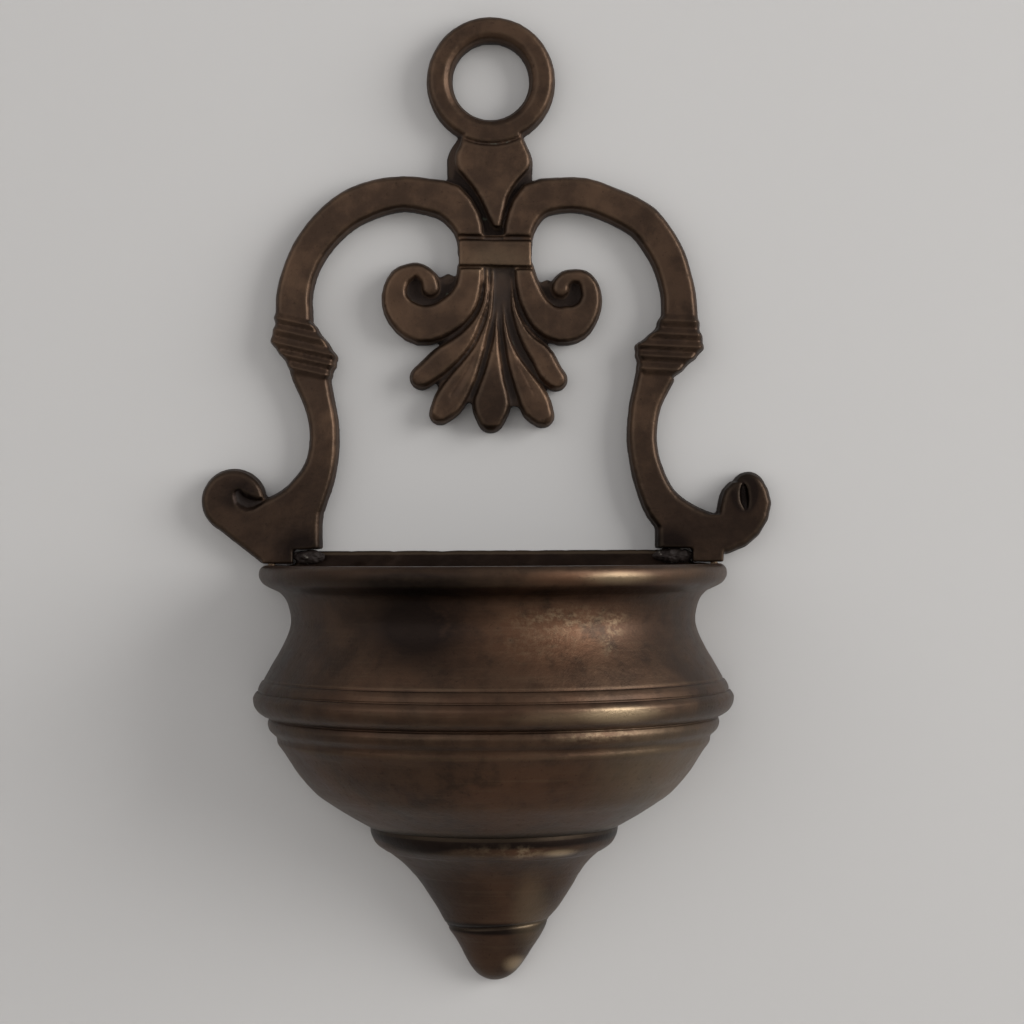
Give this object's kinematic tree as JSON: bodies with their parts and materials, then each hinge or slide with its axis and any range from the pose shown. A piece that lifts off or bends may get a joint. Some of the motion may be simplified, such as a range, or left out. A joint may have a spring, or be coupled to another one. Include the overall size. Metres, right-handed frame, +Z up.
{
  "type": "holy water font",
  "caption": "Wall-hung holy water font: a half-round moulded brass bowl with a cone pendant under an openwork scroll hanger with a palmette.",
  "frame": {"origin": "hanging point: the top of the ring's hole, on the wall plane", "axes": "+Z up, +X to the right as seen from the front, the front faces -Y and the wall is the plane y = 0"},
  "size_m": [0.125, 0.0527, 0.2115],
  "materials": {
    "hanger_brass": "cast brass with a dark brown patina, worn brighter on raised edges",
    "bowl_brass": "turned brass, brown patina worn to warm brass on the mouldings",
    "plate_brass": "flat sheet, dull and nearly black with tarnish",
    "fixing_brass": "plain turned, hidden inside",
    "solder": "dull grey soft solder"
  },
  "bodies": {
    "root": {"hanger_frame": "hanger_brass", "bowl_shell": "bowl_brass", "back_plate": "plate_brass", "pendant": "bowl_brass", "drop_finial": "bowl_brass", "pendant_stud": "fixing_brass", "foot_pin_left": "fixing_brass", "foot_pin_right": "fixing_brass", "solder_fillet_left": "solder", "solder_fillet_right": "solder"}
  },
  "joints": []
}
